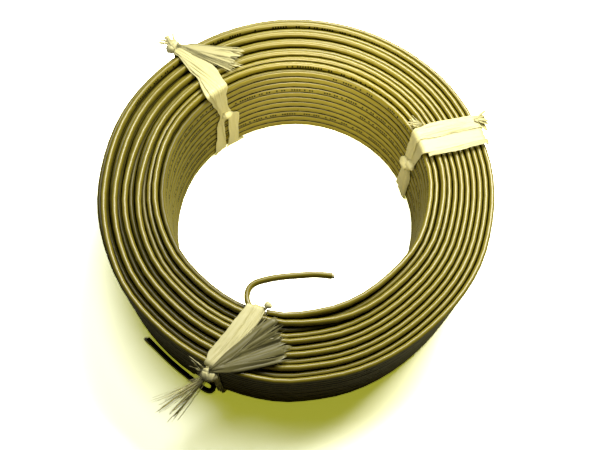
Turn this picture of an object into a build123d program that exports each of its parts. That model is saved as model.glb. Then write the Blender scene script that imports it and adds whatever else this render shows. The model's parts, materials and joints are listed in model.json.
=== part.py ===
from build123d import *
import os
from math import atan2, cos, degrees, hypot, pi, radians, sin, tan

# A 100 m roll of flat two-core building cable. The cable is wound on edge, in even layers of
# even turns, and three loops of flat raffia film hold the roll together. Along the top of the
# roll every layer climbs or falls by one width of the cable in one turn. Both ends of the cable
# are folded back: the inner end lies over the eye, the outer end along the foot of the wall.
# Millimetres, +Z up, origin on the floor below the middle of the eye. The film of the ties,
# which passes under the roll, lies on the floor.

# Cable: two solid copper conductors, each in its insulation, side by side in one flat sheath
conductor_radius = 0.69
insulation_wall = 0.56
sheath_wall = 1.0
core_web = 0.2  # sheath material between the two cores
core_fit = 0.05  # clearance round a core and round a conductor
core_radius = conductor_radius + insulation_wall
core_pitch = 2 * core_radius + core_web
cable_thickness = 2 * (core_radius + sheath_wall)
cable_width = cable_thickness + core_pitch

# Roll: the wide side of the cable stands upright
eye_radius = 95.0
layers = 11
turns_high = 12
edge_land = 1.9  # narrow side of the cable's section that is flat, between its bevels
wall_land = 3.6  # wide side of the section that is flat
edge_groove = (cable_width - wall_land) / 2
wall_groove = (cable_thickness - edge_land) / 2
roll_height = turns_high * cable_width
outer_radius = eye_radius + layers * cable_thickness
turn_gap = 0.05  # air on each side of a turn at the top of the roll
turn_seat = 0.2  # height of the even turns, below the bevel of the lowest place of a top turn
turn_root = 1.6  # depth of a top turn with what of it is sunk in the even turns, in widths
# Degrees round the roll at which the first layer starts, and at which the cable then passes from
# one layer to the next along the top. An odd layer falls away from such a place, and an even
# layer climbs to it.
crossings = [-112, -80, -175, -182, -170, -158]

# Raffia ties: gathered film, wrapped once round the section of the roll
film = 0.5
film_gap = 0.3  # between the film and the cable
film_corner = wall_groove  # bevel where the film turns over an edge of the roll
knot_radius = 4.5
knot_length = 11.0
knot_bevel = 1.8
knot_sink = 0.4  # how far a knot is pulled into its own band
strand_root_width = 1.6
strand_bury = 1.5  # length of a frayed strand inside its knot
strand_short_side = 0.94  # length of a strand's shorter edge, as a share of its longer one
strand_split = 0.8  # share of a strand's length at which its tip is split
strand_lift = 3.5  # of the strands that lie on the roll, above the middle of their knot
steep_fall = -20.0  # degrees: a strand that falls more steeply hangs from the middle of its knot

# The roll rests on the film, so its lowest turns are one film and one gap above the floor
roll_bottom = film + film_gap
roll_top = roll_bottom + roll_height

# Free ends of the cable
root_gap = 0.1  # between a free end and the wall that it leaves
channel_depth = 4.0  # length of a core that is modelled inside the sheath
core_gap = 0.1  # behind a core, at the end of its channel
core_stub = 1.8  # length of core past the cut sheath

# Each tie runs from inner_az at the eye to outer_az at the outer wall. Widths across the top are
# (share of the way out, width), widths down a wall are (share of the roll's height, width). Below
# its slot the film is split in two: (share of the height, width at the foot). A knot lies at
# (wall, azimuth, distance below the top). A strand is (azimuth, rise, length, width), and a rim
# strand, which springs from the film at the eye, the same with its turn from the band's own line.
mask_margin = 8.0  # of the cuts that shape the film, past the walls of the roll
ties = {
    "rear_tie": {
        "inner_az": 123.5,
        "outer_az": 130.3,
        "top_widths": [(0.0, 17.0), (0.5, 13.0), (1.0, 8.5)],
        "inner_widths": [(1.1, 40.0), (0.92, 16.0), (0.52, 8.0), (0.0, 12.0)],
        "outer_widths": [(1.1, 40.0), (0.92, 8.5), (0.0, 12.0)],
        "slot": (0.46, 4.0),  # the film splits in two strands below this height
        "knot": ("outer", 131.0, 3.0),
        "strands": [(8, 2, 50, 5.0), (1, 3, 55, 5.5), (-6, 1, 52, 4.5), (-12, 3, 56, 5.5),
                    (-18, 1, 53, 4.5), (148, -4, 17, 3.0), (166, 8, 13, 2.5)],
        "rim_strands": [],
    },
    "side_tie": {
        "inner_az": 25.0,
        "outer_az": 22.3,
        "top_widths": [(0.0, 20.0), (0.3, 25.0), (1.0, 21.0)],
        "inner_widths": [(1.1, 50.0), (0.95, 19.0), (0.78, 9.0), (0.6, 14.0), (0.0, 9.0)],
        "outer_widths": [(1.1, 50.0), (0.9, 18.0), (0.0, 9.0)],
        "slot": None,
        "knot": ("inner", 24.2, 19.0),
        "strands": [],
        "rim_strands": [(-12, 3, 56, 5.0), (-6, 1, 62, 5.5), (0, 2, 65, 5.5), (6, 1, 62, 5.5),
                        (12, 3, 57, 5.0)],
    },
    "front_tie": {
        "inner_az": -103.8,
        "outer_az": -110.6,
        "top_widths": [(0.0, 8.0), (0.3, 14.5), (0.8, 13.0), (1.0, 10.0)],
        "inner_widths": [(1.1, 40.0), (0.95, 7.6), (0.0, 7.0)],
        "outer_widths": [(1.1, 40.0), (0.92, 7.0), (0.0, 6.0)],
        "slot": None,
        "knot": ("outer", -110.6, 3.0),
        "strands": [(45, 2, 60, 5.5), (36, 3, 63, 5.5), (27, 1, 61, 5.0), (19, 3, 58, 5.0),
                    (12, 1, 56, 4.5), (-150, -45, 58, 5.0), (-158, -38, 48, 4.5),
                    (-141, -50, 44, 4.0)],
        "rim_strands": [],
    },
}

# Free ends, from the roll to the tip. Both leave the roll at the front tie: each point is
# (distance along the wall from the middle of that tie, distance off the wall).
inner_end_route = [(6.3, -3.1), (-6.2, -3.8), (-15.0, 12.8), (4.6, 24.4), (32.9, 28.1),
                   (47.8, 27.4), (60.3, 23.3)]
outer_end_route = [(-15.1, -2.25), (-6.0, -3.1), (-5.8, 5.9), (-22.2, 4.0), (-40.4, 3.6),
                   (-57.0, 3.9), (-69.6, 4.8)]


def even_turns():
    """The roll up to its highest even turns, with a ridge round both walls for every turn."""
    top = roll_height - cable_width - edge_groove - turn_seat
    wall = []
    for turn in range(turns_high - 1):
        foot = turn * cable_width
        wall += [(foot, wall_groove), (foot + edge_groove, 0)]
        wall.append((foot + edge_groove + wall_land, 0))
    wall[-1] = (top, 0)
    outline = [(outer_radius - depth, roll_bottom + rise) for rise, depth in wall]
    outline += [(eye_radius + depth, roll_bottom + rise) for rise, depth in reversed(wall)]
    section = make_face(Polyline(*[(x, 0, z) for x, z in outline], close=True))
    return revolve(section, Axis.Z)


def top_turn(layer):
    """The turn of one layer that shows at the top: one round that falls by the cable's width."""
    falls = layer % 2 == 0
    azimuth = crossings[(layer + 1) // 2]
    radius = eye_radius + (layer + 0.5) * cable_thickness
    helix = Helix(cable_width, cable_width, radius, lefthand=falls)
    path = Rot(0, 0, azimuth) * Pos(0, 0, roll_top - cable_width) * helix
    outward = Vector(1, 0, 0).rotate(Axis.Z, azimuth)
    upright = Plane(origin=path @ 0, x_dir=outward, z_dir=outward.cross(Vector(0, 0, 1)))
    side = cable_thickness / 2 - turn_gap
    root = -turn_root * cable_width
    half = [(side, root), (side, -edge_groove), (edge_land / 2, 0)]
    ridge = Polyline(*half, *[(-x, y) for x, y in reversed(half)], close=True)
    return sweep(upright * make_face(ridge), path, is_frenet=True)


def make_roll():
    """The wound turns as one solid: the even turns, and on them the top turn of every layer."""
    floor = roll_bottom + (turns_high - 1.5) * cable_width  # in the highest land of both walls
    above = Pos(0, 0, floor + roll_height / 2) * Cylinder(2 * outer_radius, roll_height)
    return even_turns() + [top_turn(layer) & above for layer in range(layers)]


def roll_outline(gap):
    """Section of the space that the roll fills, with a gap all round it."""
    wide = outer_radius - eye_radius + 2 * gap
    tall = roll_height + 2 * gap
    return Pos((eye_radius + outer_radius) / 2, (roll_bottom + roll_top) / 2) * Rectangle(wide, tall)


def cable_section():
    """Section of the cable, wide side along the first axis."""
    half = [
        (cable_width / 2, edge_land / 2),
        (wall_land / 2, cable_thickness / 2),
        (-wall_land / 2, cable_thickness / 2),
        (-cable_width / 2, edge_land / 2),
    ]
    return make_face(Polyline(*half, *[(x, -y) for x, y in reversed(half)], close=True))


def bend_radii(points):
    """Radius of each corner: 0.45 of the shorter run, over the tangent of half the turn."""
    radii = []
    for before, corner, after in zip(points, points[1:], points[2:]):
        run_in = (corner[0] - before[0], corner[1] - before[1])
        run_out = (after[0] - corner[0], after[1] - corner[1])
        turn = Vector(*run_in).get_angle(Vector(*run_out))
        radii.append(0.45 * min(hypot(*run_in), hypot(*run_out)) / tan(radians(turn) / 2))
    return radii


def wall_route(points, radius, outward, azimuth):
    """Points in the plan from (distance along a wall from an azimuth, distance off the wall)."""
    route = []
    for along, off in points:
        reach = Vector(radius + outward * off, 0, 0)
        route.append(reach.rotate(Axis.Z, azimuth + degrees(along / radius)))
    return [(point.X, point.Y) for point in route]


def make_end(name, route, height):
    """One free end of the cable: its sheath, with two insulated cores in the cut tip."""
    radii = bend_radii(route)
    print(name, "arc radii", [round(r, 1) for r in radii])
    path = FilletPolyline(*[(x, y, height) for x, y in route], radius=radii)
    section = Plane(origin=path @ 0, x_dir=(0, 0, 1), z_dir=path % 0) * cable_section()
    sheath = sweep(section, path)
    fullness = sheath.volume / (section.area * path.length)
    print(name, "length", round(path.length, 1), "volume / (section x length)", round(fullness, 4))
    sheath -= revolve(Plane.XZ * roll_outline(root_gap), Axis.Z)

    tip = path @ 1
    along = path % 1
    pieces = {}
    for number, side in enumerate((-1, 1), start=1):
        middle = tip + Vector(0, 0, side * core_pitch / 2)
        channel = Plane(origin=middle - along * channel_depth, z_dir=along)
        seat = Plane(origin=middle - along * (channel_depth - core_gap), z_dir=along)
        reach = channel_depth - core_gap + core_stub
        sheath -= extrude(channel * Circle(core_radius + core_fit), channel_depth + core_stub)
        insulation = Circle(core_radius) - Circle(conductor_radius + core_fit)
        pieces[f"{name}_insulation_{number}"] = extrude(seat * insulation, reach)
        pieces[f"{name}_conductor_{number}"] = extrude(seat * Circle(conductor_radius), reach)
    pieces[f"{name}_sheath"] = sheath
    return pieces


def film_sleeve():
    """Film round the whole roll, from which each tie's band is cut."""
    inside = roll_outline(film_gap)
    inside = chamfer(inside.vertices(), film_corner)
    section = offset(inside, film, kind=Kind.INTERSECTION) - inside
    return revolve(Plane.XZ * section, Axis.Z)


def mirrored_outline(stations):
    """Closed outline from (distance, width) stations, even about the first axis."""
    points = [(d, w / 2) for d, w in stations] + [(d, -w / 2) for d, w in reversed(stations)]
    return make_face(Polyline(*points, close=True))


def wall_mask(start, heading, reach, widths):
    """Block that holds the film of one wall, with its width at each height."""
    stations = [(roll_bottom + share * roll_height, width) for share, width in widths]
    stations.append((-film, widths[-1][1]))
    upright = Plane(origin=start, x_dir=(0, 0, 1), z_dir=heading)
    return extrude(upright * mirrored_outline(stations), reach)


def make_band(tie, sleeve):
    """The loop of film of one tie."""
    inner = Vector(eye_radius, 0, 0).rotate(Axis.Z, tie["inner_az"])
    outer = Vector(outer_radius, 0, 0).rotate(Axis.Z, tie["outer_az"])
    span = (outer - inner).length
    heading = (outer - inner).normalized()
    stations = [(share * span, width) for share, width in tie["top_widths"]]
    stations.insert(0, (-mask_margin, stations[0][1]))
    stations.append((span + mask_margin, stations[-1][1]))
    plan = Plane(origin=inner - Vector(0, 0, film), x_dir=heading, z_dir=(0, 0, 1))
    mask = extrude(plan * mirrored_outline(stations), roll_top + mask_margin)
    half = span / 2 + mask_margin
    start = inner - heading * mask_margin
    walls = wall_mask(start, heading, half, tie["inner_widths"])
    walls += wall_mask(inner + heading * span / 2, heading, half, tie["outer_widths"])
    band = sleeve & mask & walls
    if tie["slot"]:
        top, width = tie["slot"]
        upright = Plane(origin=start, x_dir=(0, 0, 1), z_dir=heading)
        slot = mirrored_outline([(roll_bottom + film, width), (top * roll_height, width / 4)])
        band -= extrude(upright * slot, mask_margin + film_corner)
    return band, inner, heading


def make_knot(tie):
    """Short roll of film, lying against one wall."""
    wall, azimuth, drop = tie["knot"]
    off_wall = film_gap + film + knot_radius - knot_sink
    radius = outer_radius + off_wall if wall == "outer" else eye_radius - off_wall
    centre = Vector(radius, 0, roll_top - drop).rotate(Axis.Z, azimuth)
    tangent = Vector(0, 1, 0).rotate(Axis.Z, azimuth)
    barrel = Cylinder(knot_radius, knot_length)
    barrel = chamfer(barrel.edges().filter_by(GeomType.CIRCLE), knot_bevel)
    return Plane(origin=centre, z_dir=tangent) * barrel, centre


def make_strand(root, heading, rise, length, width):
    """One frayed end: a thin tongue of film that widens to a split tip."""
    along = Vector(cos(radians(rise)), 0, sin(radians(rise))).rotate(Axis.Z, heading)
    upward = Vector(-sin(radians(rise)), 0, cos(radians(rise))).rotate(Axis.Z, heading)
    lying = Plane(origin=root, x_dir=along, z_dir=upward)
    points = [
        (-strand_bury, -strand_root_width / 2),
        (strand_short_side * length, -width / 2),
        (strand_split * length, 0),
        (length, width / 2),
        (-strand_bury, strand_root_width / 2),
    ]
    return extrude(lying * make_face(Polyline(*points, close=True)), film)


def make_tie(tie, sleeve):
    """Band, knot and frayed ends of one tie, which are one length of film."""
    band, inner, heading = make_band(tie, sleeve)
    knot, centre = make_knot(tie)
    whole = band + knot
    on_knot = centre + Vector(0, 0, strand_lift)
    for azimuth, rise, length, width in tie["strands"]:
        root = centre if rise < steep_fall else on_knot
        whole += make_strand(root, azimuth, rise, length, width)
    on_rim = inner + heading * (film_corner + strand_bury)
    on_rim += Vector(0, 0, roll_top + film_gap + film / 2)
    outward = degrees(atan2(heading.Y, heading.X))
    for turn, rise, length, width in tie["rim_strands"]:
        whole += make_strand(on_rim, outward + turn, rise, length, width)
    return whole


parts = {"cable_coil": make_roll()}
front = ties["front_tie"]
inner_route = wall_route(inner_end_route, eye_radius, -1, front["inner_az"])
outer_route = wall_route(outer_end_route, outer_radius, 1, front["outer_az"])
parts |= make_end("inner_end", inner_route, roll_top - cable_width / 2)
parts |= make_end("outer_end", outer_route, roll_bottom + cable_width / 2)
sleeve = film_sleeve()
for tie_name, tie in ties.items():
    parts[tie_name] = make_tie(tie, sleeve)

os.makedirs("parts", exist_ok=True)
for name, part in parts.items():
    export_step(part, f"parts/{name}.step")
print("roll", round(2 * outer_radius, 1), "mm across", round(roll_height, 1), "mm high")
turn_length = pi * (eye_radius + outer_radius)
print("cable in the roll", round(layers * turns_high * turn_length / 1000, 1), "m")
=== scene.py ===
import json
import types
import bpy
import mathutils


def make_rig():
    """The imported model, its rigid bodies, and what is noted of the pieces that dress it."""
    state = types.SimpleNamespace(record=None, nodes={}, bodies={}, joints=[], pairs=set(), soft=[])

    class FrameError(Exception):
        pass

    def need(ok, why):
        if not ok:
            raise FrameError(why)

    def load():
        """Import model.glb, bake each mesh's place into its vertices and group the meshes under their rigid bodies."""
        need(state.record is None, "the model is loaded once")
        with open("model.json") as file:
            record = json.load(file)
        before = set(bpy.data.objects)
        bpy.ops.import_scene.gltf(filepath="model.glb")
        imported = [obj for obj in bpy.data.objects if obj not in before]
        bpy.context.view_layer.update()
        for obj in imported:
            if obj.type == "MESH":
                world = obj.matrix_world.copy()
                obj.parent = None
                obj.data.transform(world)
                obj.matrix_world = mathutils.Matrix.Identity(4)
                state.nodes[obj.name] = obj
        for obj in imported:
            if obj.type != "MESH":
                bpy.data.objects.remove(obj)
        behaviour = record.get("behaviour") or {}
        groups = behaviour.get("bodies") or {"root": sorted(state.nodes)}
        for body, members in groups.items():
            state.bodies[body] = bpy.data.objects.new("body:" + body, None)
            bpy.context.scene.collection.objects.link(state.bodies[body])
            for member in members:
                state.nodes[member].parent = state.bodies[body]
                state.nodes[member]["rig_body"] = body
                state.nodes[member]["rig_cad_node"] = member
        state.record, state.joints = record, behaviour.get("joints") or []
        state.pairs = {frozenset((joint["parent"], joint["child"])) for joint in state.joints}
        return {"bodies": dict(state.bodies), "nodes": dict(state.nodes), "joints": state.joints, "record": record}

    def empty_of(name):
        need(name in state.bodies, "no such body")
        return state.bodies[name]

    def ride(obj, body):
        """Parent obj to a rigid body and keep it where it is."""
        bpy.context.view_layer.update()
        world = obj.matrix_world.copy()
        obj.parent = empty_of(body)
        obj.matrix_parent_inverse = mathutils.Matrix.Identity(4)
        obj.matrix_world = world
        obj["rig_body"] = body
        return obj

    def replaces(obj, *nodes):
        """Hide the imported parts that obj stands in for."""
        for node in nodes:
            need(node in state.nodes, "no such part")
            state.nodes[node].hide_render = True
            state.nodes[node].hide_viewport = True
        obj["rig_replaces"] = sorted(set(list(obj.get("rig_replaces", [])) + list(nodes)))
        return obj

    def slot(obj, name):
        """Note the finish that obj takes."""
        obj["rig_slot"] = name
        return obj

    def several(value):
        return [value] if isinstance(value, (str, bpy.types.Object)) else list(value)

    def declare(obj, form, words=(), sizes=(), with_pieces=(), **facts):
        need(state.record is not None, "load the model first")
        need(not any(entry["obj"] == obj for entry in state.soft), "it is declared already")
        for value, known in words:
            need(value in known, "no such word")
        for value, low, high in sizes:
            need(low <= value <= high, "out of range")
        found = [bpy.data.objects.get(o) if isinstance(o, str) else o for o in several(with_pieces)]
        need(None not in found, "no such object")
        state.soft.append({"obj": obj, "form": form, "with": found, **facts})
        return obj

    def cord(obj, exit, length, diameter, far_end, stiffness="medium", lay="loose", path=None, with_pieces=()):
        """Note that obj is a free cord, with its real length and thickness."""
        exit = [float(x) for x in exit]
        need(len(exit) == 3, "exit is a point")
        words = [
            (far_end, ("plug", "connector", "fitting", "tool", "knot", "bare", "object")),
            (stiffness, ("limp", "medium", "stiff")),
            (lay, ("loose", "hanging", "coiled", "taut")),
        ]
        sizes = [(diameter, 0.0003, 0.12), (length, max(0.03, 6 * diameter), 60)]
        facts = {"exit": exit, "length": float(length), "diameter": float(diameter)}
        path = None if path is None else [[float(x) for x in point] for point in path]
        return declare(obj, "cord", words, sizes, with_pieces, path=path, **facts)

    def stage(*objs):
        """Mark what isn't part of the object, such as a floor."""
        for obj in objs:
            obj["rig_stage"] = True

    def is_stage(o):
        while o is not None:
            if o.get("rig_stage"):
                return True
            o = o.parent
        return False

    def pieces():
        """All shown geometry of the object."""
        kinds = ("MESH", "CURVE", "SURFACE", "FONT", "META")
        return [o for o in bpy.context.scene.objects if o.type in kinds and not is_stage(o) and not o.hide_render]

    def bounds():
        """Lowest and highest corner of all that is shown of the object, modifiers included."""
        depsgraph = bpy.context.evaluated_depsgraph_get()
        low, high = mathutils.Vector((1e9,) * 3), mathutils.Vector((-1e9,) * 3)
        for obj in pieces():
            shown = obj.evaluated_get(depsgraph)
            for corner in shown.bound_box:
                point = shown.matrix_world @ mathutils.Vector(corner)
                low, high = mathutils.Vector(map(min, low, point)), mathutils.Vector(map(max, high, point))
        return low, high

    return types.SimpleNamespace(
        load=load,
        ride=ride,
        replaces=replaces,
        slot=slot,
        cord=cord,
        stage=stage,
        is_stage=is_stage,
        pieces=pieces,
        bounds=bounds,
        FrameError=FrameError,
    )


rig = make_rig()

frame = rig.load()

import bmesh
import bpy
import json
import math
import random
from mathutils import Matrix, Vector, noise

# A 100 m roll of flat two-core building cable, tied in three places with raffia film.
# Metres, Z up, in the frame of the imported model.

cadBox = [list(corner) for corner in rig.bounds()]
mm = 0.001
scene = bpy.context.scene


def addToScene(name, data):
    piece = bpy.data.objects.new(name, data)
    scene.collection.objects.link(piece)
    return piece


def smoothStep(x):
    x = min(max(x, 0.0), 1.0)
    return x * x * (3 - 2 * x)


def alongTable(table, x):
    # table rows are (place, value, ...), read with a smooth step between them
    for low, high in zip(table, table[1:]):
        if x <= high[0]:
            share = smoothStep((x - low[0]) / (high[0] - low[0]))
            return [a + (b - a) * share for a, b in zip(low[1:], high[1:])]
    return list(table[-1][1:])


camera = {
    "place": (0.0034, -0.2399, 0.6134),
    "target": (0.0034, -0.0158, 0.0508),
    "roll": 2.68,
    "lens": 47.7,
}
cameraData = bpy.data.cameras.new("camera")
cameraData.lens = camera["lens"]
cameraData.sensor_width = 36
cameraObject = addToScene("camera", cameraData)
line = Vector(camera["target"]) - Vector(camera["place"])
tilted = Matrix.Rotation(math.radians(camera["roll"]), 3, "Z")
turned = line.to_track_quat("-Z", "Y").to_matrix() @ tilted
cameraObject.rotation_euler = turned.to_euler()
cameraObject.location = camera["place"]
scene.camera = cameraObject
print("camera placed")


def linearColour(code):
    # sRGB hex to the linear values that sockets take
    parts = [int(code[i : i + 2], 16) / 255 for i in (1, 3, 5)]
    return [p / 12.92 if p <= 0.04045 else ((p + 0.055) / 1.055) ** 2.4 for p in parts] + [1]


def newMaterial(name):
    material = bpy.data.materials.new(name)
    material.use_nodes = True
    material.node_tree.nodes.clear()
    return material, material.node_tree


def addNode(tree, kind, links={}, sockets={}, **settings):
    node = tree.nodes.new(kind)
    for key, value in settings.items():
        setattr(node, key, value)
    for key, value in sockets.items():
        node.inputs[key].default_value = value
    for key, source in links.items():
        tree.links.new(source, node.inputs[key])
    return node


def makeSheathMaterial():
    # plasticised PVC, extruded: an even, waxy gloss, with faint drag lines along the cable
    # and a row of printed ticks, one stretch of them in every metre, with painted shade in the gaps
    # between turns and on the sides where one turn lies on the next
    colours = {"body": "#675d12", "worn": "#7d7322", "print": "#15140e"}
    # painted shade: how far ambient occlusion looks for the gaps between turns, and how dark they are painted
    gapShade = {"reach": 2.0 * mm, "darkest": 0.06}  # in the gaps between turns
    # painted shade along the rounded sides where turns lie on each other, below the highest turns
    seamShading = {"from": 2.1 * mm, "to": 2.9 * mm, "tone": 0.04, "below": 79 * mm, "fade": 3 * mm}
    gloss = {"shine": (0.24, 0.34), "withPaintedShade": 0.75, "level": 0.5, "ink": 0.05}
    printing = {"every": 1.02, "stretch": 0.30, "tick": 2.1 * mm, "height": 1.6 * mm}
    material, tree = newMaterial("pvcSheathExtruded")
    uv = addNode(tree, "ShaderNodeUVMap", uv_map="UVMap").outputs["UV"]
    split = addNode(tree, "ShaderNodeSeparateXYZ", {"Vector": uv})
    along, around = split.outputs["X"], split.outputs["Y"]
    place = addNode(tree, "ShaderNodeTexCoord").outputs["Object"]
    # broad tone changes, about 40 mm, from dust and handling
    cloud = addNode(tree, "ShaderNodeTexNoise", {"Vector": place}, {"Scale": 25, "Detail": 3})
    body = addNode(tree, "ShaderNodeMix", {"Factor": cloud.outputs["Fac"]}, data_type="RGBA")
    body.inputs["A"].default_value = linearColour(colours["body"])
    body.inputs["B"].default_value = linearColour(colours["worn"])
    # painted shade in the gaps between turns, darkest where ambient occlusion finds them closed
    openness = addNode(tree, "ShaderNodeAmbientOcclusion", {}, {"Distance": gapShade["reach"]}, samples=6)
    unshaded = addNode(tree, "ShaderNodeMapRange", {"Value": openness.outputs["AO"]},
                    {"From Min": 0.25, "From Max": 0.92, "To Min": gapShade["darkest"], "To Max": 1.0})
    # painted shade on the rounded sides, where one turn lies on the next, everywhere below the highest turns
    aside = addNode(tree, "ShaderNodeMath", {0: around}, {1: printRow}, operation="SUBTRACT")
    aside = addNode(tree, "ShaderNodeMath", {0: aside.outputs[0]}, {1: perimeter / 4},
                    operation="PINGPONG")
    seamShadeMask = addNode(tree, "ShaderNodeMapRange", {"Value": aside.outputs[0]},
                   {"From Min": seamShading["from"], "From Max": seamShading["to"], "To Min": 1.0,
                    "To Max": seamShading["tone"]})
    height = addNode(tree, "ShaderNodeSeparateXYZ", {"Vector": place}).outputs["Z"]
    onTop = addNode(tree, "ShaderNodeMapRange", {"Value": height},
                    {"From Min": seamShading["below"], "From Max": seamShading["below"] + seamShading["fade"]})
    # 1 where no painted seam shade falls: on the wide sides and on the highest turns
    bare = addNode(tree, "ShaderNodeMath", {0: seamShadeMask.outputs[0], 1: onTop.outputs[0]},
                   operation="MAXIMUM")
    unshaded = addNode(tree, "ShaderNodeMath", {0: unshaded.outputs[0], 1: bare.outputs[0]},
                    operation="MULTIPLY")
    # the body colour darkened by the painted shade
    withPaintedShade = addNode(tree, "ShaderNodeHueSaturation",
                    {"Color": body.outputs["Result"], "Value": unshaded.outputs[0]})
    # drag lines of the die: fine across the section, long along the cable
    drawn = addNode(tree, "ShaderNodeMapping", {"Vector": uv}, {"Scale": (6, 2600, 1)})
    lines = addNode(tree, "ShaderNodeTexNoise", {"Vector": drawn.outputs[0]}, {"Scale": 1, "Detail": 2})
    # ticks: a cell is inked if its number draws high, in the stretch where the wheel prints
    turn = addNode(tree, "ShaderNodeMath", {0: along}, {1: printing["every"]}, operation="MODULO")
    inStretch = addNode(tree, "ShaderNodeMath", {0: turn.outputs[0]}, {1: printing["stretch"]},
                        operation="LESS_THAN")
    cells = addNode(tree, "ShaderNodeMath", {0: along}, {1: printing["tick"]}, operation="DIVIDE")
    number = addNode(tree, "ShaderNodeMath", {0: cells.outputs[0]}, operation="FLOOR")
    draw = addNode(tree, "ShaderNodeTexWhiteNoise", {"W": number.outputs[0]}, noise_dimensions="1D")
    chosen = addNode(tree, "ShaderNodeMath", {0: draw.outputs["Value"]}, {1: 0.38},
                     operation="GREATER_THAN")
    part = addNode(tree, "ShaderNodeMath", {0: cells.outputs[0]}, operation="FRACT")
    inked = addNode(tree, "ShaderNodeMath", {0: part.outputs[0]}, {1: 0.62}, operation="LESS_THAN")
    off = addNode(tree, "ShaderNodeMath", {0: around}, {1: printRow}, operation="SUBTRACT")
    off = addNode(tree, "ShaderNodeMath", {0: off.outputs[0]}, operation="ABSOLUTE")
    inRow = addNode(tree, "ShaderNodeMath", {0: off.outputs[0]}, {1: printing["height"] / 2},
                    operation="LESS_THAN")
    ink = inStretch
    for mask in (chosen, inked, inRow):
        ink = addNode(tree, "ShaderNodeMath", {0: ink.outputs[0], 1: mask.outputs[0]},
                      operation="MULTIPLY")
    colour = addNode(tree, "ShaderNodeMix", {"Factor": ink.outputs[0], "A": withPaintedShade.outputs[0]},
                     data_type="RGBA")
    colour.inputs["B"].default_value = linearColour(colours["print"])
    waxy = addNode(tree, "ShaderNodeMapRange", {"Value": cloud.outputs["Fac"]},
                   {"To Min": gloss["shine"][0], "To Max": gloss["shine"][1]})
    # rougher in the painted shade of the gaps, so that no highlight shows there
    matt = addNode(tree, "ShaderNodeMapRange", {"Value": unshaded.outputs[0]},
                   {"To Min": gloss["withPaintedShade"], "To Max": 0})
    rough = addNode(tree, "ShaderNodeMath", {0: waxy.outputs[0], 1: matt.outputs[0]},
                    operation="MAXIMUM")
    # dried ink is matt
    unprinted = addNode(tree, "ShaderNodeMapRange", {"Value": ink.outputs[0]},
                        {"To Min": gloss["level"], "To Max": gloss["ink"]})
    # the specular level is also cut in the painted shade of the gaps
    shine = addNode(tree, "ShaderNodeMath", {0: unshaded.outputs[0], 1: unprinted.outputs[0]},
                    operation="MULTIPLY")
    bump = addNode(tree, "ShaderNodeBump", {"Height": lines.outputs["Fac"]},
                   {"Strength": 0.1, "Distance": 0.05 * mm})
    shader = addNode(tree, "ShaderNodeBsdfPrincipled",
                     {"Base Color": colour.outputs["Result"], "Roughness": rough.outputs[0],
                      "Normal": bump.outputs[0], "Specular IOR Level": shine.outputs[0]},
                     {"IOR": 1.54})
    addNode(tree, "ShaderNodeOutputMaterial", {"Surface": shader.outputs[0]})
    return material


def makeInsulationMaterial(name, code):
    # PVC, extruded: a satin core colour, slightly mottled at the cut
    material, tree = newMaterial(name)
    place = addNode(tree, "ShaderNodeTexCoord").outputs["Object"]
    mottle = addNode(tree, "ShaderNodeTexNoise", {"Vector": place}, {"Scale": 1500, "Detail": 2})
    tone = addNode(tree, "ShaderNodeMapRange", {"Value": mottle.outputs["Fac"]},
                   {"To Min": 0.8, "To Max": 1.15})
    colour = addNode(tree, "ShaderNodeHueSaturation", {"Value": tone.outputs[0]})
    colour.inputs["Color"].default_value = linearColour(code)
    bump = addNode(tree, "ShaderNodeBump", {"Height": mottle.outputs["Fac"]},
                   {"Strength": 0.3, "Distance": 0.05 * mm})
    shader = addNode(tree, "ShaderNodeBsdfPrincipled",
                     {"Base Color": colour.outputs[0], "Normal": bump.outputs[0]},
                     {"Roughness": 0.42, "IOR": 1.54})
    addNode(tree, "ShaderNodeOutputMaterial", {"Surface": shader.outputs[0]})
    return material


def makeCopperMaterial():
    # bare copper, drawn and cut: bright metal with a dull brown bloom
    material, tree = newMaterial("copperDrawn")
    place = addNode(tree, "ShaderNodeTexCoord").outputs["Object"]
    bloom = addNode(tree, "ShaderNodeTexNoise", {"Vector": place}, {"Scale": 2500, "Detail": 3})
    colour = addNode(tree, "ShaderNodeMix", {"Factor": bloom.outputs["Fac"]}, data_type="RGBA")
    colour.inputs["A"].default_value = linearColour("#c8794f")
    colour.inputs["B"].default_value = linearColour("#8a5236")
    rough = addNode(tree, "ShaderNodeMapRange", {"Value": bloom.outputs["Fac"]},
                    {"To Min": 0.25, "To Max": 0.5})
    shader = addNode(tree, "ShaderNodeBsdfPrincipled",
                     {"Base Color": colour.outputs["Result"], "Roughness": rough.outputs[0]},
                     {"Metallic": 1.0})
    addNode(tree, "ShaderNodeOutputMaterial", {"Surface": shader.outputs[0]})
    return material


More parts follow.
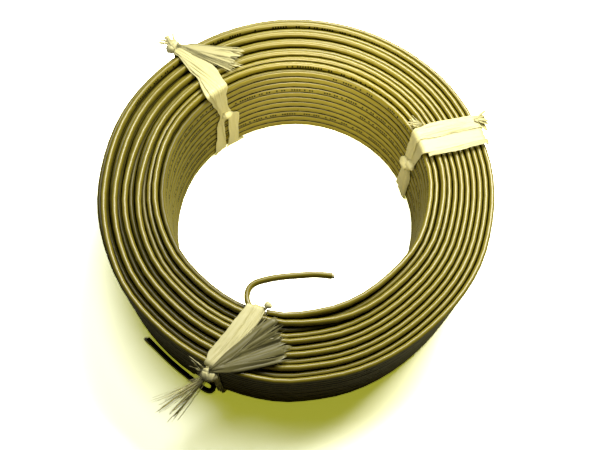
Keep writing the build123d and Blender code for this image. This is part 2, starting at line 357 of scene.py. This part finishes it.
def makeFilmMaterial():
    # polypropylene raffia, stretched film: milky, with a silky shine along its fibres,
    # which are 0.3 mm apart, and a duller cream where it is bunched
    # the single-layer tone is a dark olive: partly the cable seen through thin film, partly painted shade
    tones = {"groove": "#c8c284", "crest": "#e9e3ad", "thinAndShaded": "#5f5a26"}
    material, tree = newMaterial("raffiaFilmStretched")
    uv = addNode(tree, "ShaderNodeUVMap", uv_map="UVMap").outputs["UV"]
    drawn = addNode(tree, "ShaderNodeMapping", {"Vector": uv}, {"Scale": (3300, 60, 1)})
    fibre = addNode(tree, "ShaderNodeTexNoise", {"Vector": drawn.outputs[0]},
                    {"Scale": 1, "Detail": 3, "Roughness": 0.6})
    broad = addNode(tree, "ShaderNodeMapping", {"Vector": uv}, {"Scale": (700, 25, 1)})
    gather = addNode(tree, "ShaderNodeTexNoise", {"Vector": broad.outputs[0]}, {"Scale": 1, "Detail": 2})
    # one thin layer lets the dark cable show through and folded film is a solid white; low values also paint shade on
    # the front fan, which lies on the shaded side
    denseAndLit = addNode(tree, "ShaderNodeAttribute", attribute_name="filmLayersAndShade").outputs["Fac"]
    ramp = addNode(tree, "ShaderNodeValToRGB", {"Fac": fibre.outputs["Fac"]})
    ramp.color_ramp.elements[0].position = 0.32
    ramp.color_ramp.elements[0].color = linearColour(tones["groove"])
    ramp.color_ramp.elements[1].position = 0.56
    ramp.color_ramp.elements[1].color = linearColour(tones["crest"])
    shade = addNode(tree, "ShaderNodeMapRange", {"Value": gather.outputs["Fac"]},
                    {"From Min": 0.34, "From Max": 0.6, "To Min": 0.55, "To Max": 1.0})
    thin = addNode(tree, "ShaderNodeMix", {"Factor": denseAndLit, "B": ramp.outputs["Color"]},
                   data_type="RGBA")
    thin.inputs["A"].default_value = linearColour(tones["thinAndShaded"])
    colour = addNode(tree, "ShaderNodeHueSaturation",
                     {"Color": thin.outputs["Result"], "Value": shade.outputs[0]})
    bump = addNode(tree, "ShaderNodeBump", {"Height": fibre.outputs["Fac"]},
                   {"Strength": 0.6, "Distance": 0.12 * mm})
    shader = addNode(tree, "ShaderNodeBsdfPrincipled",
                     {"Base Color": colour.outputs[0], "Normal": bump.outputs[0]},
                     {"Roughness": 0.38, "IOR": 1.49, "Sheen Weight": 0.15})
    through = addNode(tree, "ShaderNodeBsdfTranslucent", {"Color": colour.outputs[0]})
    both = addNode(tree, "ShaderNodeMixShader", {1: shader.outputs[0], 2: through.outputs[0]},
                   {"Fac": 0.3})
    addNode(tree, "ShaderNodeOutputMaterial", {"Surface": both.outputs[0]})
    return material


cable = {
    "width": 7.2 * mm,
    "thickness": 4.5 * mm,
    "drawnThickness": 3.9 * mm,  # a little air between the layers
    "endRadius": 2.2 * mm,  # of the rounded narrow sides
}


def cableSection():
    # closed outline, narrow sides rounded; x is across the thickness and y along the width
    half, flat, rounding = cable["drawnThickness"] / 2, cable["width"] / 2, cable["endRadius"]
    outline = bpy.data.curves.new("cableSection", "CURVE")
    spline = outline.splines.new("POLY")
    corners = []
    for side in (1, -1):
        for angle in (0, 45, 90, 135, 180):
            turn = math.radians(angle)
            rise = flat - rounding + rounding * math.sin(turn)
            corners.append((side * half * math.cos(turn), side * rise))
    spline.points.add(len(corners) - 1)
    for point, (x, y) in zip(spline.points, corners):
        point.co = (x, y, 0, 1)
    spline.use_cyclic_u = True
    perimeter = sum(math.dist(a, b) for a, b in zip(corners, corners[1:] + corners[:1]))
    middleRow = math.dist(corners[9], corners[0]) / 2
    return addToScene("cableSection", outline), perimeter, middleRow


section, perimeter, middleRow = cableSection()
printRow = perimeter / 2 - middleRow  # the print is on the wide side that faces the eye


def runCable(name, points, kind):
    # the cable's section swept along one open spline; also gives the line that it follows
    data = bpy.data.curves.new(name, "CURVE")
    data.dimensions = "3D"
    data.twist_mode = "Z_UP"
    spline = data.splines.new(kind)
    spline.points.add(len(points) - 1)
    for point, place in zip(spline.points, points):
        point.co = (*place, 1)
    if kind == "NURBS":
        spline.order_u = 3
        spline.use_endpoint_u = True
        spline.resolution_u = 12
    curve = addToScene(name + "Line", data)
    graph = bpy.context.evaluated_depsgraph_get()
    bare = bpy.data.meshes.new_from_object(curve.evaluated_get(graph))
    path = [v.co.copy() for v in bare.vertices]
    data.bevel_mode = "OBJECT"
    data.bevel_object = section
    data.use_fill_caps = True
    graph = bpy.context.evaluated_depsgraph_get()
    mesh = bpy.data.meshes.new_from_object(curve.evaluated_get(graph))
    bpy.data.objects.remove(curve)
    length = sum((b - a).length for a, b in zip(path, path[1:]))
    for corner in mesh.uv_layers[0].data:  # from shares to metres
        corner.uv = (corner.uv[0] * length, corner.uv[1] * perimeter)
    return addToScene(name, mesh), path, length


roll = {
    "eyeRadius": 95 * mm,
    "outerRadius": 144.5 * mm,
    "bottom": 0.8 * mm,
    "top": 87.2 * mm,
    # (azimuth, how far the roll is pushed in or out there, and how much further at its top, mm)
    "outOfRound": [(-180, 1.2, 1.0), (-150, 0.6, -0.6), (-130, -0.2, -1.6), (-93, -1.0, 0.3),
                   (-80, -2.5, 0), (-47, -4.3, 0.3), (-15, -2.0, 1.3), (15, 0.5, 2.0),
                   (45, 1.3, 3.0), (100, 1.8, 3.9), (150, 1.5, 3.0), (180, 1.2, 1.0)],
}
frontAzimuth = {"inner": -103.8, "outer": -110.6}  # where the front tie crosses each rim


def pushed(azimuth, height):
    whole, top = alongTable(roll["outOfRound"], (azimuth + 180) % 360 - 180)
    share = min(max(height / roll["top"], 0), 1)
    return (whole + top * share) * mm


def wallPoint(radius, outward, azimuth, along, off, height):
    # a place beside a wall: distance along it from an azimuth, and distance off it, mm
    turn = math.radians(azimuth) + along * mm / radius
    reach = radius + outward * off * mm
    return (reach * math.cos(turn), reach * math.sin(turn), height)


# free ends: (along the wall from the front tie, off the wall), from the roll to the tip
innerEnd = {
    "route": [(6.3, -3.1), (-6.2, -3.8), (-15.0, 12.8), (4.6, 24.4), (32.9, 28.1), (47.8, 27.4),
              (60.3, 23.3)],
    "height": 83.6 * mm,
    "length": 0.088,
}
outerEnd = {
    "route": [(-15.1, -2.25), (-6.0, -3.1), (-5.8, 5.9), (-22.2, 3.4), (-40.4, 2.8), (-57.0, 2.9),
              (-69.6, 3.7)],
    "height": 4.4 * mm,
    "length": 0.080,
}
sheathMaterial = makeSheathMaterial()


def makeFreeEnd(name, end, radius, outward, azimuth, nodeName):
    points = [wallPoint(radius, outward, azimuth, a, o, end["height"]) for a, o in end["route"]]
    piece, path, length = runCable(name, points, "NURBS")
    piece.data.materials.append(sheathMaterial)
    for face in piece.data.polygons:
        face.use_smooth = len(face.vertices) < 5
    cores = [f"{nodeName}_{kind}_{n}" for kind in ("insulation", "conductor") for n in (1, 2)]
    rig.ride(piece, "root")
    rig.replaces(piece, f"{nodeName}_sheath")
    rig.slot(piece, "sheath")
    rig.cord(piece, exit=path[0], length=end["length"], diameter=cable["width"], far_end="bare",
            stiffness="stiff", lay="loose", path=path,
            with_pieces=[frame["nodes"][core] for core in cores])
    print(name, "drawn length", round(length, 4))


makeFreeEnd("innerFreeEnd", innerEnd, roll["eyeRadius"], -1, frontAzimuth["inner"], "inner_end")
makeFreeEnd("outerFreeEnd", outerEnd, roll["outerRadius"], 1, frontAzimuth["outer"], "outer_end")
print("free ends placed")

winding = {
    "start": -100.0,
    "end": -116.6,
    "layerTurns": 11,  # climbs or falls of one cable width in each layer
    # azimuths where the cable passes out from one layer to the next along the top
    "topChanges": [-80, -175, -182, -170, -158],
    "firstSink": 194,  # degrees in which each turn of the first layer sinks one width
    "crossing": 25,  # degrees on each side in which a change is made
    "proud": 0.9 * mm,  # the highest turns stand up a little
    "step": 11.7 * mm,
    "sideways": 0.22 * mm,  # unevenness of the hand of the winder
    "upright": 0.25 * mm,
}


def layerSpans():
    # (start, end, whether it goes down) of each layer, in degrees wound so far
    spans, at = [], winding["start"]
    for change in winding["topChanges"]:
        total = 2 * 360 * winding["layerTurns"] + (change - at) % 360
        spans += [(at, at + total / 2, True), (at + total / 2, at + total, False)]
        at += total
    total = 360 * winding["layerTurns"] + (winding["end"] - at) % 360
    return spans + [(at, at + total, True)]


def windingPoints():
    spans = layerSpans()
    low = roll["bottom"] + cable["width"] / 2
    high = roll["top"] + winding["proud"] - cable["width"] / 2
    points, at = [], spans[0][0]
    while at < spans[-1][1]:
        layer = next(i for i, span in enumerate(spans) if at <= span[1])
        start, end, down = spans[layer]
        fromTop = (at - start if down else end - at) / 360
        if layer == 0:
            whole = math.floor(fromTop)
            fromTop = whole + smoothStep((fromTop - whole) * 360 / winding["firstSink"])
        height = max(high - cable["width"] * min(fromTop, winding["layerTurns"]), low)
        # the radius, with half of each crossing on each side of the change
        number = layer + 0.5
        if layer and at - start < winding["crossing"]:
            number -= 0.5 - (at - start) / winding["crossing"] / 2
        elif layer < len(spans) - 1 and end - at < winding["crossing"]:
            number += 0.5 - (end - at) / winding["crossing"] / 2
        whole = math.floor(number - 0.5)
        number = whole + 0.5 + smoothStep(number - 0.5 - whole)
        radius = roll["eyeRadius"] + cable["thickness"] * number + pushed(at, height)
        turn = math.radians(at)
        wander = Vector((2.2 * math.cos(turn), 2.2 * math.sin(turn), at / 360 * 0.7))
        radius += winding["sideways"] * noise.noise(wander)
        height += winding["upright"] * noise.noise(wander + Vector((9, 0, 0)))
        points.append((radius * math.cos(turn), radius * math.sin(turn), height))
        at += math.degrees(winding["step"] / radius)
    return points


wound, path, length = runCable("woundCable", windingPoints(), "POLY")
wound.data.materials.append(sheathMaterial)
for face in wound.data.polygons:
    face.use_smooth = len(face.vertices) < 5
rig.ride(wound, "root")
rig.replaces(wound, "cable_coil")
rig.slot(wound, "sheath")
print("wound", round(length, 1), "m of cable,", len(wound.data.polygons), "faces")
bpy.data.objects.remove(section)

film = {
    "corner": 2.4 * mm,  # radius at which the film turns over a rim
    "thickness": 0.12 * mm,
    "rows": 150,
    "columns": 26,
}
ties = {
    "rear": {
        "node": "rear_tie",
        "inner": 123.5,
        "outer": 130.3,
        "seed": 3,
        # (side: -1 foot of the eye's wall, 0 its rim, 1 outer rim, 2 outer foot, 3 back at the
        # eye; distance from the tie's line, width), mm
        "bands": [
            [(-1.02, 18.2, 11.3), (-0.57, 14.1, 7.5), (-0.4, 9.5, 6.5), (-0.3, 9.4, 9.5),
             (-0.14, 10.9, 13), (0, 11.3, 18.5), (0.45, 5.4, 16), (0.94, 3.0, 9.5), (1, 2.0, 8),
             (2, 0, 10)],
            [(-1.02, 5.6, 10.8), (-0.75, 3.2, 9.3), (-0.5, 1.2, 9.6), (-0.4, 6.0, 6.0), (-0.3, 8.4, 7),
             (-0.14, 10.5, 9), (0, 11.5, 11), (0.45, 8.0, 8), (0.94, 3.0, 7), (1, 2, 6.5), (2, 0, 9)],
            [(2, 0, 9), (3, 0, 12)],
        ],
        # (azimuth, reach, height, radius, length), mm
        "knots": [(131.5, 149.4, 85.0, 4.4, 12), (127.8, 92.4, 52, 2.6, 9)],
        # a spray of ribbons: root, headings, rises, lengths, widths and how many of each
        "sprays": [
            {"root": (130.5, 147, 88.0), "headings": (-12, -3), "rises": (1, 4), "lengths": (48, 55),
             "widths": (4.0, 6.0), "ribbons": 5, "fibres": 16, "sag": 0.5, "densityAndShade": 0.75},
            {"root": (130.8, 147, 88.0), "headings": (-22, -15), "rises": (0, 3), "lengths": (50, 57),
             "widths": (2.5, 4.0), "ribbons": 4, "fibres": 16, "sag": 0.5, "densityAndShade": 0.7},
            {"root": (131, 151, 86.0), "headings": (95, 205), "rises": (-10, 30), "lengths": (7, 15),
             "widths": (1.0, 2.4), "ribbons": 5, "fibres": 34, "sag": 1, "densityAndShade": 1.0},
        ],
    },
    "side": {
        "node": "side_tie",
        "inner": 25.0,
        "outer": 22.3,
        "seed": 7,
        "bands": [
            [(-1.02, -0.5, 17), (-0.62, 0, 14.5), (-0.45, 2.5, 9), (-0.3, 1.0, 15), (-0.06, -0.6, 18),
             (0.05, -0.5, 21.5), (0.3, -1, 23), (1, -0.5, 21), (1.15, 0, 18), (2, 0, 9)],
            [(-1.02, -5, 7), (-0.62, -3, 6), (-0.45, 1.5, 5), (-0.3, 3, 8), (-0.06, 3.5, 9),
             (0.05, 5, 10), (0.3, 5, 12), (1, 5, 11), (1.15, 4, 10), (2, 1, 7)],
            [(0.06, -13.2, 2.6), (0.5, -14.0, 3.0), (1.0, -12.6, 3.2), (1.1, -10, 2.6)],
            [(2, 0, 9), (3, 0, 9)],
        ],
        "knots": [(26.0, 91.4, 51.0, 3.4, 12), (22.8, 92.2, 56.5, 2.6, 9)],
        "sprays": [
            {"root": (24.5, 142, 88.4), "headings": (-20, 62), "rises": (-4, 10), "lengths": (7, 13),
             "widths": (2.0, 4.5), "ribbons": 9, "fibres": 22, "sag": 2, "densityAndShade": 1.0},
            {"root": (31.0, 102, 88.6), "headings": (130, 185), "rises": (-2, 5), "lengths": (6, 12),
             "widths": (0.4, 0.9), "ribbons": 4, "fibres": 22, "sag": 1.5, "densityAndShade": 0.9},
        ],
    },
    "front": {
        "node": "front_tie",
        "inner": -103.8,
        "outer": -110.6,
        "seed": 12,
        "bands": [
            [(-1.02, 0, 7), (-0.12, -0.4, 9), (0, -0.7, 14), (0.3, -1, 15.5), (0.8, -2.2, 14.5),
             (1, -1.5, 9.5), (1.1, 0, 7), (2, 0, 6)],
            [(-1.02, 1, 5), (-0.05, 1, 6), (0, 1, 7), (0.3, 2, 9), (0.8, 1, 9), (1, 0, 8),
             (1.1, 0, 5), (2, 0, 5)],
            [(2, 0, 6), (3, 0, 7)],
        ],
        "knots": [(-110.6, 149.6, 83.5, 4.4, 11), (-99.8, 93.2, 89.2, 2.0, 5)],
        "sprays": [
            # this fan's low value is partly thin film over dark cable and partly painted shade
            {"root": (-110.4, 147.5, 88.0), "headings": (7, 46), "rises": (0, 4), "lengths": (51, 59),
             "widths": (4.5, 6.5), "ribbons": 14, "fibres": 30, "sag": 0.6, "densityAndShade": 0.14},
            {"root": (-110.6, 150, 84.0), "headings": (-158, -130), "rises": (-46, -22),
             "lengths": (32, 54), "widths": (0.6, 1.6), "ribbons": 6, "fibres": 30, "sag": -4,
             "densityAndShade": 1.0},
            {"root": (-110.6, 150, 83.0), "headings": (-220, -140), "rises": (-30, 10),
             "lengths": (8, 20), "widths": (0.6, 1.4), "ribbons": 2, "fibres": 20, "sag": 3,
             "densityAndShade": 0.8},
        ],
    },
}
wide = roll["outerRadius"] - roll["eyeRadius"]
tall = roll["top"] - roll["bottom"]


def filmPoint(tie, side, across, lift):
    # a place on the film: round the roll's section, across the tie, and off the cable
    inner, outer, low, high = roll["eyeRadius"], roll["outerRadius"], roll["bottom"], roll["top"]
    if side <= 0:
        reach, height = inner, low + (side + 1) * tall
    elif side <= 1:
        reach, height = inner + side * wide, high
    elif side <= 2:
        reach, height = outer, high - (side - 1) * tall
    else:
        reach, height = outer - (side - 2) * wide, low
    corner = film["corner"]
    coreReach = min(max(reach, inner + corner), outer - corner)
    coreHeight = min(max(height, low + corner), high - corner)
    away = Vector((reach - coreReach, height - coreHeight)).normalized()
    reach, height = Vector((coreReach, coreHeight)) + away * (corner + lift)
    share = min(max((reach - inner) / wide, 0), 1)
    turn = math.radians(tie["inner"] + (tie["outer"] - tie["inner"]) * share) + across / reach
    reach += pushed(math.degrees(turn), height)
    return Vector((reach * math.cos(turn), reach * math.sin(turn), max(height, 0.1 * mm)))


def addGrid(shape, columns, rows, placeOf, uvOf, densityAndShade=1.0):
    # a grid whose vertices are placed by (share across from -0.5 to 0.5, share along from 0 to 1)
    made = bmesh.ops.create_grid(shape, x_segments=columns, y_segments=rows, size=0.5)
    uvLayer = shape.loops.layers.uv.verify()
    shares = {v: (v.co.x, v.co.y + 0.5) for v in made["verts"]}
    for face in {f for v in made["verts"] for f in v.link_faces}:
        face.smooth = True
        for loop in face.loops:
            loop[uvLayer].uv = uvOf(*shares[loop.vert])
    layer = shape.verts.layers.float["filmLayersAndShade"]
    for v, (x, y) in shares.items():
        v.co = placeOf(x, y)
        v[layer] = densityAndShade


def addBand(shape, tie, stations, lift, seed):
    start, end = stations[0][0], stations[-1][0]
    rows = max(12, int(film["rows"] * (end - start) / 3))

    def placeOf(x, y):
        side = start + (end - start) * y
        offset, width = alongTable(stations, side)
        ragged = 0.35 * noise.noise(Vector((seed, side * 14, x))) * (abs(x) > 0.42)
        across = offset + width * x + ragged
        # gathered film: sharp pleats that run along the band, deeper where it is narrow
        pleat = abs(noise.noise(Vector((across * 0.55, side * 1.3, seed))))
        pleat += 0.5 * abs(noise.noise(Vector((across * 1.7, side * 3.0, seed + 5))))
        depth = min(1.5, 14 / width)
        return filmPoint(tie, side, across * mm, (lift + depth * pleat) * mm)

    def uvOf(x, y):
        side = start + (end - start) * y
        return (x * 20 * mm + seed, side * 80 * mm)

    addGrid(shape, film["columns"], rows, placeOf, uvOf)


filmMaterial = makeFilmMaterial()


def polarPoint(azimuth, reach, height):
    turn = math.radians(azimuth)
    reach = reach * mm + pushed(azimuth, height * mm)
    return Vector((reach * math.cos(turn), reach * math.sin(turn), height * mm))


def clearOfRoll(place, gap):
    # film that crosses the roll lies on top of its turns
    reach = math.hypot(place.x, place.y)
    if roll["eyeRadius"] - 2 * mm < reach < roll["outerRadius"] + 2 * mm:
        place.z = max(place.z, roll["top"] + gap * mm)
    place.z = max(place.z, 0.3 * mm)
    return place


def addRibbon(shape, root, heading, rise, length, width, sag, densityAndShade, dice, columns):
    # one frayed end: it opens out from its root, bends a little, and is torn at the tip
    along = Vector((1, 0, math.tan(math.radians(rise))))
    along = Matrix.Rotation(math.radians(heading), 3, "Z") @ along
    along.normalize()
    side = Vector((-along.y, along.x, 0)).normalized()
    up = along.cross(side)
    bend, wave, curl = dice.uniform(-0.06, 0.06), dice.uniform(0, 9), dice.uniform(-0.9, 0.9)
    crease, seed, gap = dice.uniform(-0.25, 0.25), dice.uniform(0, 99), dice.uniform(0.7, 2.6)
    torn = {}

    def placeOf(x, y):
        short = torn.setdefault(round(x, 3), dice.uniform(0.82, 1.0))
        y *= 1 if y < 0.6 else 1 - (1 - short) * (y - 0.6) / 0.4
        turn = curl * (0.3 + y)
        spread = width * x * (0.25 + 0.75 * smoothStep(y / 0.35))
        lift = crease * width * (1 - 4 * x * x) + 0.5 * noise.noise(Vector((y * 5, seed, x)))
        place = along * (length * y) + side * (bend * length * y * y - spread * math.cos(turn))
        place += up * (spread * math.sin(turn) + lift) - Vector((0, 0, sag * y * y * 2))
        return clearOfRoll(root + place * mm, gap + lift * 0.5)

    addGrid(shape, columns, 14, placeOf,
            lambda x, y: (x * width * mm + seed, y * length * mm + wave), densityAndShade)


def addSpray(shape, spray, dice):
    root = polarPoint(*spray["root"])
    for kind in ("ribbons", "fibres"):
        for number in range(spray[kind]):
            heading = dice.uniform(*spray["headings"])
            if kind == "ribbons":  # fanned out evenly
                low, high = spray["headings"]
                heading = low + (high - low) * (number + dice.uniform(0.2, 0.8)) / spray[kind]
            else:
                heading += dice.uniform(-5, 5)
            width = dice.uniform(*spray["widths"]) if kind == "ribbons" else dice.uniform(0.2, 0.45)
            start = root + Vector([dice.uniform(-1.2, 1.2) * mm for _ in range(3)])
            addRibbon(shape, start, heading, dice.uniform(*spray["rises"]),
                      dice.uniform(*spray["lengths"]), width, spray["sag"],
                      spray["densityAndShade"], dice, 4 if kind == "ribbons" else 1)


def addKnot(shape, knot, dice):
    # a bunched lump of film, with turns of film drawn tight round it
    azimuth, reach, height, radius, length = knot
    centre = polarPoint(azimuth, reach, height)
    frameTurn = Matrix.Rotation(math.radians(azimuth + 90), 3, "Z")
    uvLayer = shape.loops.layers.uv.verify()
    made = bmesh.ops.create_uvsphere(shape, u_segments=24, v_segments=16, radius=1)
    seed = dice.uniform(0, 50)
    shares = {}
    layer = shape.verts.layers.float["filmLayersAndShade"]
    for v in made["verts"]:
        v[layer] = 1.0
        around = math.atan2(v.co.z, v.co.y)
        lump = 1 + 0.3 * noise.noise(v.co * 1.4 + Vector((seed, 0, 0)))
        folds = Vector((v.co.x * 1.5, math.cos(around) * 4, math.sin(around) * 4))
        lump += 0.16 * abs(noise.noise(folds))
        shares[v] = (around * radius * mm, v.co.x * length * mm)
        v.co = Vector((v.co.x * length / 2, v.co.y * radius, v.co.z * radius)) * lump * mm
        v.co = centre + frameTurn @ v.co
    for face in {f for v in made["verts"] for f in v.link_faces}:
        face.smooth = True
        for loop in face.loops:
            loop[uvLayer].uv = shares[loop.vert]
    for wrap in range(3):
        tilt, shift = dice.uniform(-0.5, 0.5), dice.uniform(-0.25, 0.25) * length
        begin, breadth = dice.uniform(0, 6), length * 0.34

        def placeOf(x, y):
            around = begin + y * 5.4
            uneven = 0.12 * noise.noise(Vector((x * 5, around, wrap)))
            out = radius * (1.06 + 0.06 * wrap) * (1 + uneven)
            axis = shift + x * breadth + tilt * radius * math.sin(around)
            thin = 1 - 0.25 * (2 * axis / length) ** 2
            place = Vector((axis, out * thin * math.cos(around), out * thin * math.sin(around))) * mm
            return centre + frameTurn @ place

        addGrid(shape, 6, 24, placeOf, lambda x, y: (x * breadth * mm, y * 5.4 * radius * mm))


def makeTie(name, tie):
    shape = bmesh.new()
    shape.verts.layers.float.new("filmLayersAndShade")
    dice = random.Random(tie["seed"])
    for number, stations in enumerate(tie["bands"]):
        addBand(shape, tie, stations, 0.35 + 0.5 * number, tie["seed"] + 10 * number)
    for knot in tie["knots"]:
        addKnot(shape, knot, dice)
    for spray in tie["sprays"]:
        addSpray(shape, spray, dice)
    mesh = bpy.data.meshes.new(name)
    shape.to_mesh(mesh)
    shape.free()
    piece = addToScene(name, mesh)
    mesh.materials.append(filmMaterial)
    thick = piece.modifiers.new("filmThickness", "SOLIDIFY")
    thick.thickness = film["thickness"]
    thick.offset = 0
    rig.ride(piece, "root")
    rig.replaces(piece, tie["node"])
    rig.slot(piece, "raffia")
    print(name, len(mesh.polygons), "faces")


for name, tie in ties.items():
    makeTie(name + "Tie", tie)

coreMaterials = {
    "insulation_1": makeInsulationMaterial("pvcInsulationDark", "#3a3227"),
    "insulation_2": makeInsulationMaterial("pvcInsulationPale", "#a9a183"),
    "conductor_1": makeCopperMaterial(),
}
coreMaterials["conductor_2"] = coreMaterials["conductor_1"]
for end in ("inner_end", "outer_end"):
    for core, material in coreMaterials.items():
        mesh = frame["nodes"][f"{end}_{core}"].data
        mesh.materials.clear()
        mesh.materials.append(material)
print("cores finished")

studio = {
    "floor": "#7a7764",
    "key": {"place": (0.15, 0.22, 0.47), "target": (0, 0, 0.04), "size": (0.42, 0.18), "power": 5.8,
            "colour": "#fffbe8"},
    "top": {"place": (-0.1, 0.1, 0.64), "target": (0, 0, 0.04), "size": (0.26, 0.26), "power": 1.7,
            "colour": "#ffffff"},
    # low over the eye, for the far wall
    "fill": {"place": (0.01, -0.035, 0.15), "target": (0.015, 0.1, 0.025), "angle": 80,
             "radius": 0.05, "power": 2.8, "colour": "#fff3c8"},
    "world": {"colour": "#fff0b0", "strength": 0.015},
    # the floor as it is seen straight on, a share above 1 so that it shows white, its tint in
    # shade, and as the glossy cable mirrors it
    "seen": (2.8, 2.8, 2.6, 1),
    "shade": (0.3, 0.31, 0.02, 1),
    "mirrored": (0.22, 0.22, 0.15, 1),
}


def makeFloor():
    shape = bmesh.new()
    bmesh.ops.create_grid(shape, x_segments=1, y_segments=1, size=4)
    mesh = bpy.data.meshes.new("floor")
    shape.to_mesh(mesh)
    shape.free()
    floor = addToScene("floor", mesh)
    material, tree = newMaterial("paperMatt")
    plain = addNode(tree, "ShaderNodeBsdfDiffuse")
    plain.inputs["Color"].default_value = linearColour(studio["floor"])
    rays = addNode(tree, "ShaderNodeLightPath")
    # the white floor is also seen through thin film
    bright = addNode(tree, "ShaderNodeMath", {0: rays.outputs["Is Camera Ray"],
                     1: rays.outputs["Is Transmission Ray"]}, operation="MAXIMUM")
    tone = addNode(tree, "ShaderNodeMix", {"Factor": bright.outputs[0]}, data_type="RGBA")
    tone.inputs["A"].default_value = studio["mirrored"]
    tone.inputs["B"].default_value = studio["seen"]
    seen = addNode(tree, "ShaderNodeBsdfDiffuse", {"Color": tone.outputs["Result"]})
    glow = addNode(tree, "ShaderNodeEmission", {"Strength": bright.outputs[0]})
    glow.inputs["Color"].default_value = studio["shade"]
    lit = addNode(tree, "ShaderNodeAddShader", {0: seen.outputs[0], 1: glow.outputs[0]})
    straight = addNode(tree, "ShaderNodeMath", {0: bright.outputs[0],
                       1: rays.outputs["Is Glossy Ray"]}, operation="MAXIMUM")
    mix = addNode(tree, "ShaderNodeMixShader",
                  {0: straight.outputs[0], 1: plain.outputs[0], 2: lit.outputs[0]})
    addNode(tree, "ShaderNodeOutputMaterial", {"Surface": mix.outputs[0]})
    mesh.materials.append(material)
    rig.stage(floor)


def placeLamp(name, data, settings):
    data.energy = settings["power"]
    data.color = linearColour(settings["colour"])[:3]
    lamp = addToScene(name, data)
    lamp.location = settings["place"]
    aim = Vector(settings["target"]) - lamp.location
    lamp.rotation_euler = aim.to_track_quat("-Z", "Y").to_euler()
    return lamp


def makeSoftbox(name, settings):
    data = bpy.data.lights.new(name, "AREA")
    data.shape = "RECTANGLE"
    data.size, data.size_y = settings["size"]
    placeLamp(name, data, settings).visible_camera = False


def makeSpot(name, settings):
    data = bpy.data.lights.new(name, "SPOT")
    data.spot_size = math.radians(settings["angle"])
    data.spot_blend = 1.0
    data.shadow_soft_size = settings["radius"]
    placeLamp(name, data, settings)


makeFloor()
makeSoftbox("keyLamp", studio["key"])
makeSoftbox("topLamp", studio["top"])
makeSpot("fillLamp", studio["fill"])
world = bpy.data.worlds.new("studio")
world.use_nodes = True
background = world.node_tree.nodes["Background"]
background.inputs["Color"].default_value = linearColour(studio["world"]["colour"])
background.inputs["Strength"].default_value = studio["world"]["strength"]
scene.world = world
scene.view_settings.view_transform = "Standard"
print("studio lit")

shownBox = [list(corner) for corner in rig.bounds()]
with open("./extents.json", "w") as out:
    json.dump({"cad": cadBox, "shown": shownBox}, out)
